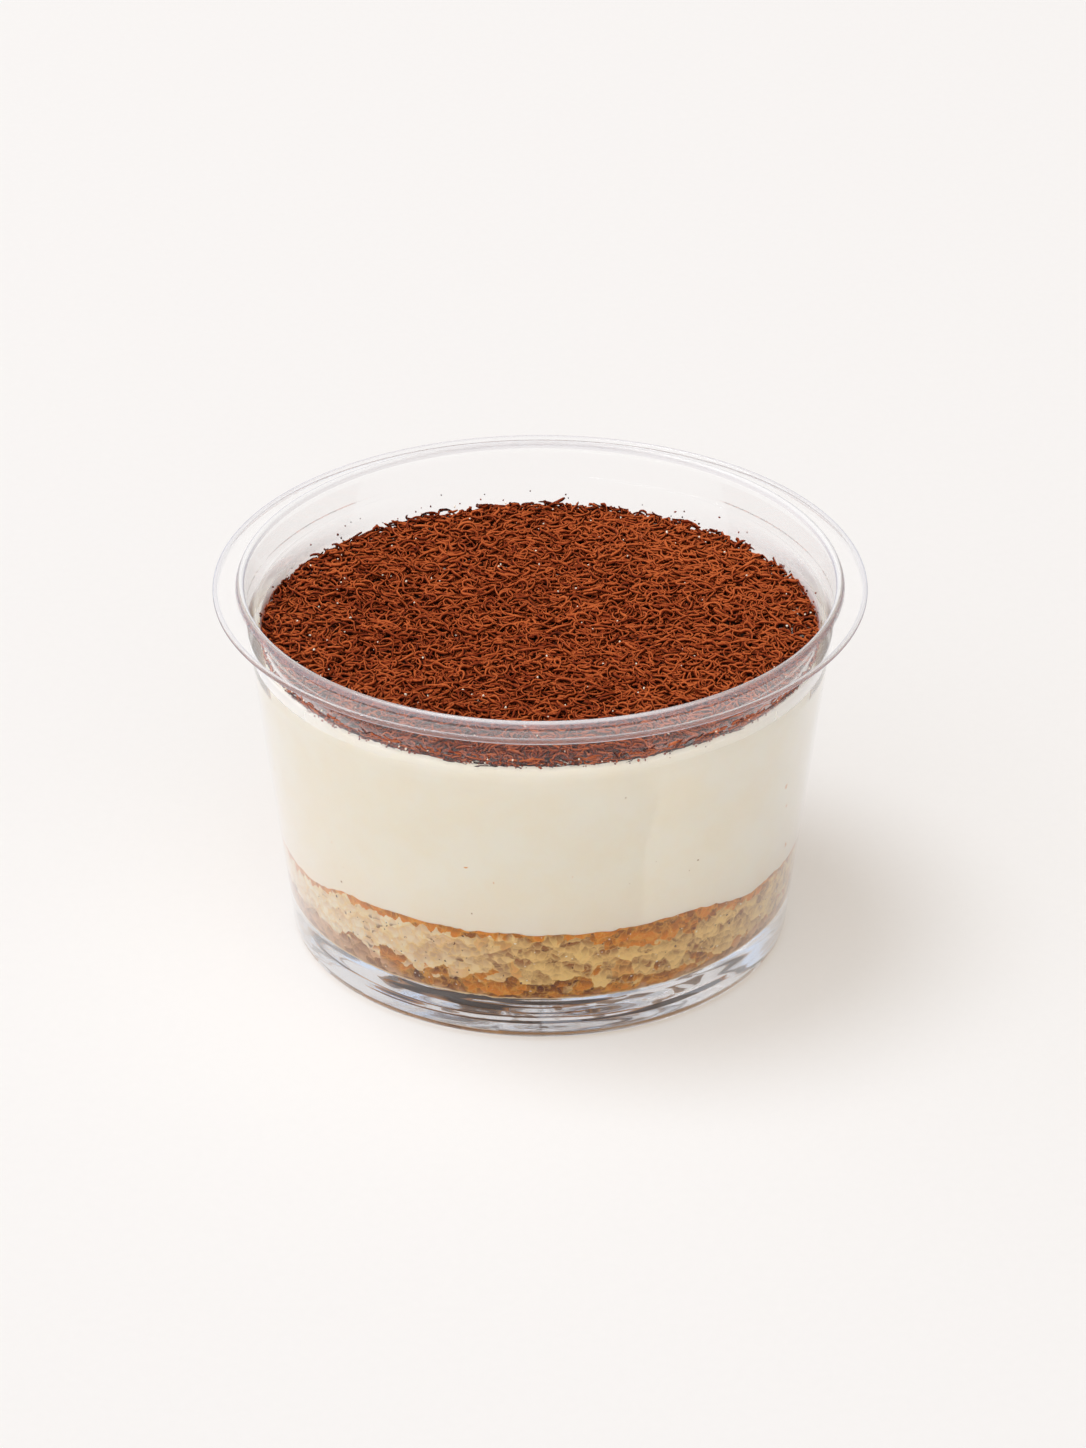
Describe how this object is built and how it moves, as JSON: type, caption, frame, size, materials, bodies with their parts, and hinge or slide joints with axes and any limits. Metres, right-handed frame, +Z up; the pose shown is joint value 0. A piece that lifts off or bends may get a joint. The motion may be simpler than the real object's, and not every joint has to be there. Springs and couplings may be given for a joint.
{
  "type": "tiramisu cup",
  "caption": "Single-serve tiramisu in a clear plastic cup with a flanged rim: soaked sponge, mascarpone cream and a layer of curled chocolate shavings.",
  "frame": {"origin": "middle of the foot, on the surface that the cup stands on", "axes": "+Z up along the cup's axis, towards its mouth"},
  "size_m": [0.095, 0.095, 0.0566],
  "materials": {
    "clear_plastic": "clear moulded polystyrene, glossy",
    "soaked_sponge": "open sponge crumb soaked with coffee",
    "mascarpone_cream": "smooth whipped cream pressed against the wall",
    "milk_chocolate": "fine curled shavings, satin"
  },
  "bodies": {
    "root": {"cup": "clear_plastic", "sponge": "soaked_sponge", "cream": "mascarpone_cream", "chocolate_shavings": "milk_chocolate"}
  },
  "joints": []
}
